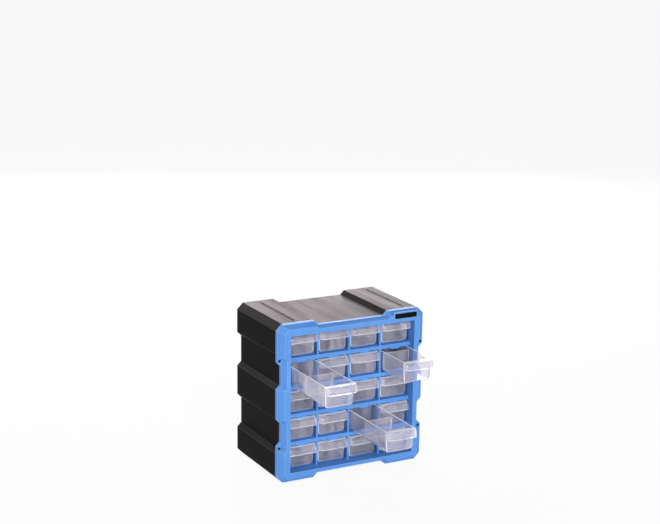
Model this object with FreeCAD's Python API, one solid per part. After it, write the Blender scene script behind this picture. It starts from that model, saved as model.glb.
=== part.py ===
import FreeCAD, Part
import os
from math import pi, tan

# Parts bin cabinet: a castellated case with a chamfered front frame, an egg-crate rack and
# twenty clear drawers. Millimetres, +Z up, the front faces -Y.
# The origin is on the surface it stands on, under the middle of the closed cabinet.

# Overall size and counts
cabinet_width = 265
cabinet_height = 262
case_depth = 143
flange_thickness = 7
bezel_depth = 8
column_count = 4
row_count = 5

# Castellated outline shared by the case and the flange of the front frame
recess_depth = 7
corner_cut = 10.2
middle_band_height = 49.3
case_end_band_height = 49
flange_end_band_height = 61.2
top_band_width = 65.5

# Raised face of the front frame
bezel_inset = 2.5
bezel_recess = 5.7
bezel_end_band_height = 53
face_side_inset = 9.9
face_end_inset = 7.5
face_recess = 3.9
face_corner_cut = 7

# Window of the front frame and the grid behind it
window_side_border = 19.8
window_head_border = 18.7
window_sill = 16.9
rail_height = 6.5
mullion_width = 3.2
grid_depth = 6
grid_border = 5
stop_tab_width = 16
stop_tab_drop = 2.4
stop_tab_depth = 3

# Case walls and back
case_wall = 2.5
back_thickness = 2.5
back_rebate = 1.2
back_clearance = 0.15
top_groove_width = 1.4
top_groove_depth = 0.8
top_groove_front_gap = 8
top_groove_back_gap = 12
left_groove_side_gap = 37.5
right_groove_side_gap = 28
keyhole_drop = 40
keyhole_head_radius = 4.2
keyhole_slot_radius = 2.3
keyhole_slot_rise = 9

# Screws that hold the front frame to the case
screw_inset = 3.9
screw_lift = 2.7
screw_head_radius = 2.4
screw_head_height = 1.8
screw_head_sink = 2
screw_shank_radius = 1.5
screw_bite = 8
screw_slot_width = 0.7
screw_slot_reach = 1.6
screw_slot_depth = 0.9
screw_hole_clearance = 0.15
boss_depth = 10
boss_height = 8.6
boss_side_gap = 1

# Blank name plate and the pad that holds it
plate_width = 40.7
plate_height = 8.6
plate_thickness = 1.2
plate_sink = 0.4
plate_clearance = 0.1
plate_side_gap = 16.2
plate_drop = 4.4
pad_margin = 2.2
pad_slant = 5

# Egg-crate rack of shelves and partitions
shelf_thickness = 1.8
shelf_rise = 1.6
partition_thickness = 1.6
slot_clearance = 0.1

# Drawer tub
drawer_length = 134
drawer_headroom = 5.08
drawer_wall = 1.5
tub_side_gap = 1.375
tub_side_taper = 1.4
tub_corner_radius = 5
rim_overhang = 0.6
rim_height = 1.8
slide_clearance = 0.3
front_setback = 4
catch_width = 24
catch_rise = 2.6
stop_clearance = 0.3

# Drawer handle, a hood open underneath
hood_side_gap = 0.575
hood_reach = 12
hood_height = 12
hood_radius = 7
hood_corner_radius = 7
hood_wall = 1.5
cheek_round = 5

# Divider and the ribs that hold it
divider_thickness = 1.2
divider_headroom = 6
divider_clearance = 0.2
rib_reach = 1
rib_width = 1

# How far the three open drawers are pulled out, as shares of their travel, by row and column
# from the top left
pulled_out_shares = {(2, 1): 0.976, (4, 3): 0.9, (2, 4): 0.556}
divided_drawers = ((2, 1), (4, 3), (2, 4))

# Overrun of every cutting tool
overrun = 5

# Places that follow from the sizes above
frame_depth = flange_thickness + bezel_depth
total_depth = frame_depth + case_depth
face_y = -total_depth / 2
flange_front_y = face_y + bezel_depth
case_front_y = face_y + frame_depth
case_back_y = total_depth / 2
back_inner_y = case_back_y - back_thickness
grid_back_y = case_front_y + grid_depth
mid_z = cabinet_height / 2
window_width = cabinet_width - 2 * window_side_border
window_height = cabinet_height - window_sill - window_head_border
window_top = window_sill + window_height
cell_width = (window_width - (column_count - 1) * mullion_width) / column_count
cell_height = (window_height - (row_count - 1) * rail_height) / row_count
column_pitch = cell_width + mullion_width
row_pitch = cell_height + rail_height
rack_half_width = column_pitch * column_count / 2 + partition_thickness / 2
drawer_front_y = case_front_y + front_setback
drawer_height = cell_height - drawer_headroom
tub_top_width = cell_width - 2 * tub_side_gap
tub_bottom_width = tub_top_width - 2 * tub_side_taper
hood_width = cell_width - 2 * hood_side_gap
divider_height = drawer_height - divider_headroom
keyhole_height = cabinet_height - keyhole_drop
left_groove_x = left_groove_side_gap - cabinet_width / 2
right_groove_x = cabinet_width / 2 - right_groove_side_gap
plate_right = cabinet_width / 2 - plate_side_gap
plate_top = cabinet_height - plate_drop


def column_middle(column):
    """Middle of a column of drawers, counted from 1 at the left."""
    return (column - (column_count + 1) / 2) * column_pitch


def sill_height(row):
    """Top of the rail below a row of drawers, with row 1 at the top."""
    return window_sill + (row_count - row) * row_pitch


def box(x0, x1, y0, y1, z0, z1):
    """A block between two corners."""
    return Part.makeBox(x1 - x0, y1 - y0, z1 - z0, FreeCAD.Vector(x0, y0, z0))


def mirrored_outline(quarter):
    """Closed outline about the middle of the cabinet from its top right quarter."""
    top_left = [(-x, z) for x, z in reversed(quarter)]
    bottom_left = [(-x, -z) for x, z in quarter]
    bottom_right = [(x, -z) for x, z in reversed(quarter)]
    return quarter + top_left + bottom_left + bottom_right


def castellated_wire(y, half_width, half_height, recess, corner, band_half, end_z, band_x):
    """Outline with raised bands: middle and ends of the sides, ends of the top and bottom."""
    quarter = [
        (half_width, band_half),
        (half_width - recess, band_half + recess),
        (half_width - recess, end_z - recess),
        (half_width, end_z),
        (half_width, half_height - corner),
        (half_width - corner, half_height),
        (band_x, half_height),
        (band_x - recess, half_height - recess),
    ]
    points = [FreeCAD.Vector(x, y, mid_z + z) for x, z in mirrored_outline(quarter)]
    return Part.makePolygon(points + points[:1])


def cabinet_wire(y, end_band_height, inset):
    """The shared outline moved inwards by an even inset, as the inside of a wall is."""
    drift = inset * tan(pi / 8)
    return castellated_wire(
        y,
        cabinet_width / 2 - inset,
        cabinet_height / 2 - inset,
        recess_depth,
        corner_cut - 2 * (inset - drift),
        middle_band_height / 2 - drift,
        cabinet_height / 2 - end_band_height + drift,
        cabinet_width / 2 - top_band_width + drift,
    )


def prism(wire, depth):
    """Solid swept back from an upright outline."""
    return Part.Face(wire).extrude(FreeCAD.Vector(0, depth, 0))


def screw_places():
    """Centres of the four frame screws, one in each ear of the flange."""
    x = cabinet_width / 2 - screw_inset
    z = cabinet_height / 2 - flange_end_band_height + screw_lift
    return [(side * x, mid_z + end * z) for side in (-1, 1) for end in (-1, 1)]


def rod(radius, x, y, z, length):
    """Round bar pointing back from a place on the front."""
    return Part.makeCylinder(radius, length, FreeCAD.Vector(x, y, z), FreeCAD.Vector(0, 1, 0))


def bezel_body():
    """Chamfered body of the front frame, from its foot on the flange to its face."""
    foot = castellated_wire(
        flange_front_y,
        cabinet_width / 2 - bezel_inset,
        cabinet_height / 2 - bezel_inset,
        bezel_recess,
        corner_cut - 2 * bezel_inset * (1 - tan(pi / 8)),
        middle_band_height / 2,
        cabinet_height / 2 - bezel_end_band_height,
        cabinet_width / 2 - top_band_width,
    )
    face = castellated_wire(
        face_y,
        cabinet_width / 2 - face_side_inset,
        cabinet_height / 2 - face_end_inset,
        face_recess,
        face_corner_cut,
        middle_band_height / 2,
        cabinet_height / 2 - bezel_end_band_height,
        cabinet_width / 2 - top_band_width,
    )
    return Part.makeLoft([foot, face], True, True)


def plate_pad():
    """Raised pad with a slanted left end that frames the name plate."""
    left = plate_right - plate_width - pad_margin
    right = plate_right + pad_margin
    low = plate_top - plate_height - pad_margin
    high = plate_top + pad_margin
    corners = [(left - pad_slant, low), (right, low), (right, high), (left, high)]
    points = [FreeCAD.Vector(x, face_y, z) for x, z in corners]
    return prism(Part.makePolygon(points + points[:1]), bezel_depth)


def plate_block(grow, thickness):
    """The name plate, or the pocket for it when grown by a clearance."""
    return box(
        plate_right - plate_width - grow,
        plate_right + grow,
        face_y + plate_sink,
        face_y + plate_sink + thickness,
        plate_top - plate_height - grow,
        plate_top + grow,
    )


def front_frame():
    flange = prism(cabinet_wire(case_front_y, flange_end_band_height, 0), -flange_thickness)
    frame = flange.fuse([bezel_body(), plate_pad()])
    half = window_width / 2
    window = box(-half, half, face_y - overrun, case_front_y + overrun, window_sill, window_top)
    pocket = plate_block(plate_clearance, plate_thickness)
    mouth = pocket.translated(FreeCAD.Vector(0, -plate_sink, 0))
    cuts = [window, pocket, mouth]
    for x, z in screw_places():
        head_hole = screw_head_radius + screw_hole_clearance
        shank_hole = screw_shank_radius + screw_hole_clearance
        cuts.append(rod(head_hole, x, face_y, z, bezel_depth + screw_head_sink))
        cuts.append(rod(shank_hole, x, face_y, z, frame_depth + overrun))
    return frame.cut(cuts).removeSplitter()


def name_plate():
    return plate_block(0, plate_thickness)


def front_grid():
    """Lattice behind the window, with a stop tab under the top edge of each cell."""
    half = window_width / 2 + grid_border
    low = window_sill - grid_border
    high = window_top + grid_border
    lattice = box(-half, half, case_front_y, grid_back_y, low, high)
    cells = []
    tabs = []
    for row in range(1, row_count + 1):
        sill = sill_height(row)
        head = sill + cell_height
        for column in range(1, column_count + 1):
            left = column_middle(column) - cell_width / 2
            right = left + cell_width
            cells.append(box(left, right, case_front_y - overrun, grid_back_y + overrun, sill, head))
            tab_left = column_middle(column) - stop_tab_width / 2
            tab_right = tab_left + stop_tab_width
            tab_back_y = case_front_y + stop_tab_depth
            tabs.append(box(tab_left, tab_right, case_front_y, tab_back_y, head - stop_tab_drop, head))
    return lattice.cut(cells).fuse(tabs).removeSplitter()


def top_groove(x):
    """Long shallow groove in a raised band of the case's top."""
    return box(
        x - top_groove_width / 2,
        x + top_groove_width / 2,
        case_front_y + top_groove_front_gap,
        case_back_y - top_groove_back_gap,
        cabinet_height - top_groove_depth,
        cabinet_height + overrun,
    )


def screw_boss(x, z):
    """Block on the case's side behind an ear, solid up to the raised band next to it."""
    side = 1 if x > 0 else -1
    end = 1 if z > mid_z else -1
    outer = cabinet_width / 2 - boss_side_gap
    inner = cabinet_width / 2 - recess_depth - case_wall / 2
    near = z - end * screw_lift
    x0, x1 = sorted((side * inner, side * outer))
    z0, z1 = sorted((near, near + end * boss_height))
    return box(x0, x1, case_front_y, case_front_y + boss_depth, z0, z1)


def case_shell():
    """Castellated tube with a rebate for the back and bosses for the frame screws."""
    shell = prism(cabinet_wire(case_front_y, case_end_band_height, 0), case_depth)
    inside_wire = cabinet_wire(case_front_y - overrun, case_end_band_height, case_wall)
    inside = prism(inside_wire, case_depth + 2 * overrun)
    rebate_wire = cabinet_wire(back_inner_y, case_end_band_height, case_wall - back_rebate)
    rebate = prism(rebate_wire, back_thickness + overrun)
    bosses = [screw_boss(x, z) for x, z in screw_places()]
    cuts = [rebate, top_groove(left_groove_x), top_groove(right_groove_x)]
    for x, z in screw_places():
        cuts.append(rod(screw_shank_radius, x, case_front_y - overrun, z, screw_bite + overrun))
    return shell.cut(inside).fuse(bosses).cut(cuts).removeSplitter()


def keyhole(x):
    """Round mouth for a screw head with a narrow slot above it."""
    start = back_inner_y - overrun
    end = case_back_y + overrun
    slot_top = keyhole_height + keyhole_slot_rise
    mouth = rod(keyhole_head_radius, x, start, keyhole_height, end - start)
    slot_end = rod(keyhole_slot_radius, x, start, slot_top, end - start)
    slot = box(x - keyhole_slot_radius, x + keyhole_slot_radius, start, end, keyhole_height, slot_top)
    return mouth.fuse([slot_end, slot])


def back_panel():
    """Plate seated in the rebate, with two keyholes behind the outer columns."""
    wire = cabinet_wire(back_inner_y, case_end_band_height, case_wall - back_rebate + back_clearance)
    panel = prism(wire, back_thickness)
    return panel.cut([keyhole(column_middle(1)), keyhole(column_middle(column_count))])


def frame_screws():
    """Four screws with cross slots, their heads sunk in the ears."""
    screws = []
    head_y = flange_front_y + screw_head_sink - screw_head_height
    shank_length = screw_head_height + flange_thickness - screw_head_sink + screw_bite
    for x, z in screw_places():
        head = rod(screw_head_radius, x, head_y, z, screw_head_height)
        shank = rod(screw_shank_radius, x, head_y, z, shank_length)
        reach = screw_slot_reach
        half = screw_slot_width / 2
        slots = [
            box(x - reach, x + reach, head_y - overrun, head_y + screw_slot_depth, z - half, z + half),
            box(x - half, x + half, head_y - overrun, head_y + screw_slot_depth, z - reach, z + reach),
        ]
        screws.append(head.fuse(shank).cut(slots).removeSplitter())
    return Part.makeCompound(screws)


def shelf_top(level):
    """Top of a shelf, with level 1 under the top row."""
    return sill_height(level) + shelf_rise


def partition_places():
    """Middles of the upright plates, one on each side of every column."""
    return [(index - column_count / 2) * column_pitch for index in range(column_count + 1)]


def rack_middle_y():
    """Where the half slots of shelves and partitions meet."""
    return (grid_back_y + back_inner_y) / 2


def shelf(level):
    """Full-width plate, slotted from the front for the partitions."""
    top = shelf_top(level)
    low = top - shelf_thickness
    plate = box(-rack_half_width, rack_half_width, grid_back_y, back_inner_y, low, top)
    half = partition_thickness / 2 + slot_clearance
    slots = []
    for x in partition_places():
        slots.append(
            box(x - half, x + half, grid_back_y - overrun, rack_middle_y(), low - overrun, top + overrun)
        )
    return plate.cut(slots)


def case_inner_height(x):
    """Height of the case's inside above its middle at a place across its width."""
    drift = case_wall * tan(pi / 8)
    raised = cabinet_height / 2 - case_wall
    band_start = cabinet_width / 2 - top_band_width + drift
    return raised if abs(x) > band_start else raised - recess_depth


def partition(x):
    """Upright plate from the case's floor to its ceiling, slotted from the back for the shelves."""
    reach = case_inner_height(x)
    half = partition_thickness / 2
    plate = box(x - half, x + half, grid_back_y, back_inner_y, mid_z - reach, mid_z + reach)
    left = x - half - overrun
    right = x + half + overrun
    slots = []
    for level in range(1, row_count + 1):
        high = shelf_top(level) + slot_clearance
        low = shelf_top(level) - shelf_thickness - slot_clearance
        slots.append(box(left, right, rack_middle_y(), back_inner_y + overrun, low, high))
    return plate.cut(slots)


def tub_block(top_width, bottom_width, y0, y1, z0, z1, radius):
    """Tapered block with rounded lower long edges, about x = 0."""
    corners = [(-top_width, z1), (-bottom_width, z0), (bottom_width, z0), (top_width, z1)]
    points = [FreeCAD.Vector(x / 2, y0, z) for x, z in corners]
    block = prism(Part.makePolygon(points + points[:1]), y1 - y0)
    low_edges = [
        edge
        for edge in block.Edges
        if all(abs(vertex.Z - z0) < radius / 2 for vertex in edge.Vertexes)
        and abs(edge.Vertexes[0].Y - edge.Vertexes[-1].Y) > radius
    ]
    return block.makeFillet(radius, low_edges)


def tub_inner_half(z):
    """Half the inside width of the tub at a height above its underside."""
    half = tub_bottom_width / 2 + (tub_top_width - tub_bottom_width) / 2 * z / drawer_height
    return half - drawer_wall


def divider_place():
    """Middle of the divider behind the tub's front."""
    return drawer_length / 2


def divider_ribs():
    """Two pairs of upright ribs on the side walls, one rib on each side of the divider."""
    ribs = []
    gap = divider_thickness / 2 + divider_clearance
    for side in (-1, 1):
        wall = side * tub_inner_half(drawer_height)
        base = side * (tub_inner_half(0) - rib_reach)
        for start in (-gap - rib_width, gap):
            y0 = divider_place() + start
            x0, x1 = sorted((base, wall))
            ribs.append(box(x0, x1, y0, y0 + rib_width, drawer_wall, drawer_wall + divider_height))
    return ribs


def hood_profile(x, reach, top, drop, radius, back):
    """Side view of the hood as a face: flat top, round nose and straight lip."""
    lip = FreeCAD.Vector(x, -reach, top - drop)
    nose_low = FreeCAD.Vector(x, -reach, top - radius)
    nose_high = FreeCAD.Vector(x, radius - reach, top)
    centre = FreeCAD.Vector(x, radius - reach, top - radius)
    bulge = centre + FreeCAD.Vector(0, -radius, radius) / 2 ** 0.5
    back_high = FreeCAD.Vector(x, back, top)
    back_low = FreeCAD.Vector(x, back, top - drop)
    edges = [
        Part.LineSegment(lip, nose_low).toShape(),
        Part.Arc(nose_low, bulge, nose_high).toShape(),
        Part.LineSegment(nose_high, back_high).toShape(),
        Part.LineSegment(back_high, back_low).toShape(),
        Part.LineSegment(back_low, lip).toShape(),
    ]
    return Part.Face(Part.Wire(edges))


def hood_block(half, reach, top, drop, nose_radius, corner_radius):
    """Solid scoop across the tub's front: a nose round from the side and corners round from above."""
    nose = hood_profile(-half, reach, top, drop, nose_radius, 0).extrude(FreeCAD.Vector(2 * half, 0, 0))
    plan = box(-half, half, -reach, 0, top - drop, top)
    upright = [
        edge
        for edge in plan.Edges
        if all(vertex.Y < -reach / 2 for vertex in edge.Vertexes)
        and abs(edge.Vertexes[0].Z - edge.Vertexes[-1].Z) > drop / 2
    ]
    return nose.common(plan.makeFillet(corner_radius, upright))


def cheek_notch():
    """Room under the rounded rear corner of both cheeks, across the whole hood."""
    low = drawer_height - hood_height
    half = hood_width / 2 + overrun
    block = box(-half, half, -cheek_round, 0, low - overrun, low + cheek_round)
    foot = FreeCAD.Vector(-half, -cheek_round, low + cheek_round)
    return block.cut(Part.makeCylinder(cheek_round, 2 * half, foot, FreeCAD.Vector(1, 0, 0)))


def hood():
    """Cup handle across the tub's front: closed above, in front and at both ends."""
    half = hood_width / 2
    outside = hood_block(half, hood_reach, drawer_height, hood_height, hood_radius, hood_corner_radius)
    hollow = hood_block(
        half - hood_wall,
        hood_reach - hood_wall,
        drawer_height - hood_wall,
        hood_height + overrun,
        hood_radius - hood_wall,
        hood_corner_radius - hood_wall,
    )
    return outside.cut([hollow, cheek_notch()])


def drawer_shape():
    """One moulded drawer at x = 0 with its front at y = 0 and its underside at z = 0."""
    tub = tub_block(tub_top_width, tub_bottom_width, 0, drawer_length, 0, drawer_height, tub_corner_radius)
    top_inside = 2 * tub_inner_half(drawer_height + overrun)
    inside = tub_block(
        top_inside,
        2 * tub_inner_half(drawer_wall),
        drawer_wall,
        drawer_length - drawer_wall,
        drawer_wall,
        drawer_height + overrun,
        tub_corner_radius - drawer_wall,
    )
    rim_low = drawer_height - rim_height
    rim_half = tub_top_width / 2 + rim_overhang
    rims = []
    for side in (-1, 1):
        x0, x1 = sorted((side * tub_inner_half(drawer_height), side * rim_half))
        rims.append(box(x0, x1, 0, drawer_length, rim_low, drawer_height))
    catch = box(
        -catch_width / 2,
        catch_width / 2,
        drawer_length - drawer_wall,
        drawer_length,
        rim_low,
        drawer_height + catch_rise,
    )
    ribs = [rib.common(tub) for rib in divider_ribs()]
    return tub.cut(inside).fuse(rims + ribs + [catch, hood()]).removeSplitter()


def travel():
    """How far a drawer slides from closed until its catch meets the stop tab."""
    catch_front = drawer_front_y + drawer_length - drawer_wall
    return catch_front - (case_front_y + stop_tab_depth) - stop_clearance


def drawer_origin(row, column):
    """Where a drawer's own origin lies in the cabinet."""
    pull = pulled_out_shares.get((row, column), 0) * travel()
    return FreeCAD.Vector(column_middle(column), drawer_front_y - pull, shelf_top(row) + slide_clearance)


def divider_shape():
    """Flat plate that follows the tub's sides and stands on its floor."""
    corner = tub_corner_radius - drawer_wall
    high = drawer_wall + divider_height
    top_half = tub_inner_half(high) - divider_clearance
    low_half = tub_inner_half(drawer_wall) - divider_clearance
    corners = [
        (-top_half, high),
        (-low_half, drawer_wall + corner),
        (corner - low_half, drawer_wall),
        (low_half - corner, drawer_wall),
        (low_half, drawer_wall + corner),
        (top_half, high),
    ]
    front = divider_place() - divider_thickness / 2
    points = [FreeCAD.Vector(x, front, z) for x, z in corners]
    return prism(Part.makePolygon(points + points[:1]), divider_thickness)


def build():
    nodes = {
        "front_frame": front_frame(),
        "front_grid": front_grid(),
        "name_plate": name_plate(),
        "frame_screws": frame_screws(),
        "case_shell": case_shell(),
        "back_panel": back_panel(),
    }
    for level in range(1, row_count + 1):
        nodes[f"shelf_{level}"] = shelf(level)
    for number, x in enumerate(partition_places(), 1):
        nodes[f"partition_{number}"] = partition(x)
    drawer = drawer_shape()
    divider = divider_shape()
    for row in range(1, row_count + 1):
        for column in range(1, column_count + 1):
            place = drawer_origin(row, column)
            nodes[f"drawer_r{row}c{column}"] = drawer.translated(place)
            if (row, column) in divided_drawers:
                nodes[f"divider_r{row}c{column}"] = divider.translated(place)
    return nodes


os.makedirs("parts", exist_ok=True)
for name, shape in build().items():
    shape.exportStep(f"parts/{name}.step")
    print(name, "valid", shape.isValid(), "solids", len(shape.Solids), "volume", round(shape.Volume, 1))
print("drawer travel", round(travel(), 3))
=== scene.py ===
# %% [markdown]
# # A parts bin cabinet
# The real object is a bench-top cabinet: a black moulded case, a blue front frame and twenty clear
# drawers. Its sizes were settled before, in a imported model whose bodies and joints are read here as
# a fixed frame. This lesson builds the looks around that frame, one moulded piece at a time.

# %% Read the frame
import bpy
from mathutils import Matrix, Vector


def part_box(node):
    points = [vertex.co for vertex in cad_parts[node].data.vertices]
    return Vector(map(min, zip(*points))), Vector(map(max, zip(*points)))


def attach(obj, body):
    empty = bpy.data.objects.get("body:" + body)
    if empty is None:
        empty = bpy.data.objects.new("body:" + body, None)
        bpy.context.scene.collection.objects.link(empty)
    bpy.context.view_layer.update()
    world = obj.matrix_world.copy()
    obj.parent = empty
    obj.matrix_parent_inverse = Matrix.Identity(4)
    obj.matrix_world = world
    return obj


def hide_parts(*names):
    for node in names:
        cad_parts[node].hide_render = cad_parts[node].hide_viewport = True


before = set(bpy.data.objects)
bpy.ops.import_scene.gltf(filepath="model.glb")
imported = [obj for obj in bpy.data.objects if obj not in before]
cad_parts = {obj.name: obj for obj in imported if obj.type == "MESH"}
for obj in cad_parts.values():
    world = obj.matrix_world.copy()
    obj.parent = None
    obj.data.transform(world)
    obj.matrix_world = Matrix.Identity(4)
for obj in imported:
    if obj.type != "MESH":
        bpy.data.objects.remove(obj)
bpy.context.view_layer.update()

# %% Tools from Blender and Python
from math import cos, pi, radians, sin, tan

import bmesh
import bpy
from mathutils import Vector

# %% [markdown]
# ## The camera
# The photograph was taken from the front, a little from the left and from above, with a long lens.
# The place and the angles below come from fitting the cabinet's corners to the picture, so a render
# lines up with it without any shift of the lens.

# %% Camera
view = bpy.data.cameras.new("view")
view.lens = 82.711
view.sensor_width = 36
view.clip_start = 0.05
view.clip_end = 50
camera = bpy.data.objects.new("camera", view)
camera.location = (-1.138946, -2.106510, 0.906021)
camera.rotation_euler = (radians(76.58196), radians(-0.70215), radians(-28.16923))
bpy.context.collection.objects.link(camera)
bpy.context.scene.camera = camera
print("camera stands", round(camera.location.length, 3), "m from the cabinet")

# %% [markdown]
# ## Writing materials as sums
# A material is a graph of nodes. Graphs built link by link are hard to read, so a small class wraps
# one socket and lets Python's own operators add the Math nodes. Every other node comes from one
# method, which sets the node's settings first and then its sockets.

# %% Sums of sockets
class Signal:
    """One output socket that takes part in Python sums."""

    def __init__(self, recipe, socket):
        self.recipe = recipe
        self.socket = socket

    def math(self, operation, first, second):
        return self.recipe.node("ShaderNodeMath", {"operation": operation}, {0: first, 1: second})

    def either(self, other):
        return self.math("MAXIMUM", self, other)

    def __add__(self, other):
        return self.math("ADD", self, other)

    def __sub__(self, other):
        return self.math("SUBTRACT", self, other)

    def __rsub__(self, other):
        return self.math("SUBTRACT", other, self)

    def __mul__(self, other):
        return self.math("MULTIPLY", self, other)

    __radd__ = __add__
    __rmul__ = __mul__


# %% [markdown]
# ## Recipes
# A recipe is a material's node tree, written as a list of steps. Most nodes have sockets that can be
# asked for by name. A Mix node for colours has many of one name, so its factor and its two colours
# are asked for by number.

# %% Recipe
class Recipe:
    """A node tree that is written as a list of steps."""

    def __init__(self, tree):
        self.tree = tree
        tree.nodes.clear()

    def node(self, kind, settings=None, sockets=None, output=0):
        made = self.tree.nodes.new(kind)
        for name, value in (settings or {}).items():
            if name == "stops":
                for element, (place, shade) in zip(made.color_ramp.elements, value):
                    element.position = place
                    element.color = (shade, shade, shade, 1)
            else:
                setattr(made, name, value)
        for name, value in (sockets or {}).items():
            if isinstance(value, Signal):
                self.tree.links.new(value.socket, made.inputs[name])
            else:
                made.inputs[name].default_value = value
        return Signal(self, made.outputs[output]) if len(made.outputs) else None

    def place(self):
        return self.node("ShaderNodeTexCoord", output="Object")

    def stretched(self, scale):
        return self.node("ShaderNodeMapping", {}, {"Vector": self.place(), "Scale": scale})

    def noise(self, scale, detail, place=None, roughness=0.5):
        sockets = {"Vector": place or self.place(), "Scale": scale, "Detail": detail, "Roughness": roughness}
        return self.node("ShaderNodeTexNoise", {"noise_dimensions": "3D"}, sockets)

    def ramp(self, signal, low, high):
        return self.node("ShaderNodeValToRGB", {"stops": [(low, 0), (high, 1)]}, {"Fac": signal})

    def blend(self, amount, first, second):
        sockets = {0: amount, 6: first, 7: second}
        return self.node("ShaderNodeMix", {"data_type": "RGBA"}, sockets, output=2)

    def bump(self, height, strength, distance):
        sockets = {"Height": height, "Strength": strength, "Distance": distance}
        return self.node("ShaderNodeBump", {}, sockets)

    def edge(self):
        return self.node("ShaderNodeAttribute", {"attribute_name": "edge"}, output="Fac")

    def plastic(self, sockets):
        return self.node("ShaderNodeBsdfPrincipled", {}, sockets)

    def mixed(self, amount, first, second):
        return self.node("ShaderNodeMixShader", {}, {0: amount, 1: first, 2: second})


def finish(name, look):
    """A material whose surface is what a look makes in a new recipe."""
    material = bpy.data.materials.new(name)
    material.use_nodes = True
    recipe = Recipe(material.node_tree)
    recipe.node("ShaderNodeOutputMaterial", {}, {"Surface": look(recipe)})
    print("finish", name, "nodes", len(material.node_tree.nodes))
    return material


# %% [markdown]
# ## Blue moulded plastic
# The front frame and the grid are one clean, saturated blue. Real mouldings are never perfectly
# even: the colour drifts slightly where the plastic flowed, and the surface has a fine orange peel
# that softens reflections. Both are noise, one broad and one fine. Rounded ridges get a painted
# highlight that makes them lighter than the faces beside them, and creases get painted shade, so
# rounded faces carry an attribute named edge, which is 1 on a ridge and -1 in a crease. Reveals, where
# light hardly reaches, get painted shade too, with a value between 0 and -1.

# %% Blue plastic
deep_blue, pale_blue = (0.108, 0.3, 0.72, 1), (0.118, 0.325, 0.77, 1)
# Colours of the painted highlight on ridges and the painted shade in creases and reveals.
painted_highlight_blue, painted_shade_blue = (0.42, 0.66, 1, 1), (0.022, 0.09, 0.33, 1)


def blue_look(recipe):
    flow = recipe.ramp(recipe.noise(14, 2), 0.35, 0.65)
    shade = recipe.blend(flow, deep_blue, pale_blue)
    # Painted highlight: ridges are lightened towards a pale blue.
    shade = recipe.blend(0.85 * recipe.edge(), shade, painted_highlight_blue)
    # Painted shade: creases and reveals are darkened towards a deep blue.
    shade = recipe.blend(-0.95 * recipe.edge(), shade, painted_shade_blue)
    return recipe.plastic({
        "Base Color": shade,
        "Roughness": 0.42 + 0.12 * recipe.noise(160, 3),
        "Specular IOR Level": 0.12,
        "Normal": recipe.bump(recipe.noise(900, 2), 0.12, 0.00006),
    })


blue_plastic = finish("blue_plastic", blue_look)

# %% [markdown]
# ## Black moulded plastic
# The case is a satin black that looks deep from the front and takes a pale sheen at a low angle.
# Duller streaks run from front to back, the way the plastic flowed and hands have wiped it, so their
# noise is stretched along that direction. Its ridges get a painted highlight of light grey, and a fine
# spark-eroded grain keeps the sheen from becoming a mirror image.

# %% Black plastic
deep_black, worn_black = (0.0015, 0.0012, 0.0014, 1), (0.005, 0.0042, 0.0044, 1)
# The colour of the painted highlight on the case's ridges.
painted_highlight_grey = (0.12, 0.113, 0.113, 1)


def black_look(recipe):
    drawn = recipe.stretched((1, 0.1, 1))
    streaks = recipe.ramp(recipe.noise(38, 4, drawn, 0.6), 0.36, 0.68)
    shade = recipe.blend(streaks, deep_black, worn_black)
    return recipe.plastic({
        # Painted highlight: ridges are lightened towards grey.
        "Base Color": recipe.blend(0.6 * recipe.edge(), shade, painted_highlight_grey),
        "Roughness": 0.34 + 0.12 * streaks,
        "Specular IOR Level": 0.018,
        "Normal": recipe.bump(recipe.noise(1500, 2), 0.25, 0.00008),
    })


black_plastic = finish("black_plastic", black_look)

# %% [markdown]
# ## Clear plastic
# The drawers are clear polystyrene with a faint lavender milkiness. Three shaders are mixed: a true
# refracting one for the wall, a plain white one for the milk, which lies in streaks along the flow of
# the moulding, and a bright one that paints a highlight on the edges. Clear plastic leads light along
# its walls to its edges, so rims and rounded edges look white; here that is a painted highlight with
# a painted glow, a faint emission. The attribute named edge says how much of it a face shows. A
# refracting shader stops the lamps' shadow rays, which would leave the drawers dark inside, so most
# of such a ray is let through, but less of it at an edge.

# %% Clear plastic
cool_clear, warm_clear = (0.9, 0.9, 0.95, 1), (0.95, 0.94, 0.96, 1)
lavender_milk, white_milk = (0.7, 0.68, 0.83, 1), (0.84, 0.81, 0.87, 1)
# Colours of the painted highlight and the painted glow on the edges.
painted_highlight_cool_white, painted_highlight_warm_white = (0.9, 0.9, 0.96, 1), (0.96, 0.95, 0.97, 1)
painted_glow, let_through = (0.95, 0.95, 1, 1), (0.92, 0.92, 0.95, 1)


def clear_look(recipe):
    streaks = recipe.ramp(recipe.noise(75, 4, recipe.stretched((1, 1, 0.12)), 0.6), 0.36, 0.66)
    clouds = recipe.noise(28, 2)
    ripple = recipe.bump(recipe.noise(110, 1), 0.12, 0.0004)
    wall = recipe.plastic({
        "Base Color": recipe.blend(clouds, cool_clear, warm_clear),
        "Roughness": 0.03 * clouds,
        "IOR": 1.45,
        "Transmission Weight": 1,
        "Normal": ripple,
    })
    milk = recipe.plastic({
        "Base Color": recipe.blend(streaks, lavender_milk, white_milk),
        "Roughness": 0.2 + 0.1 * clouds,
        "Normal": ripple,
    })
    # Painted highlight with a painted glow: an emission although the plastic is no lamp.
    painted_edge_light = recipe.plastic({
        "Base Color": recipe.blend(clouds, painted_highlight_cool_white, painted_highlight_warm_white),
        "Roughness": 0.2 + 0.1 * clouds,
        "Emission Color": painted_glow,
        "Emission Strength": 0.25,
    })
    edge = recipe.edge() * recipe.edge()
    whole = recipe.mixed(0.9 * edge, recipe.mixed(0.05 + 0.14 * streaks, wall, milk), painted_edge_light)
    shadow = recipe.node("ShaderNodeLightPath", output="Is Shadow Ray")
    through = recipe.node("ShaderNodeBsdfTransparent", {}, {"Color": let_through})
    return recipe.mixed(shadow * (0.78 - 0.6 * edge), whole, through)


clear_plastic = finish("clear_plastic", clear_look)
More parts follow.
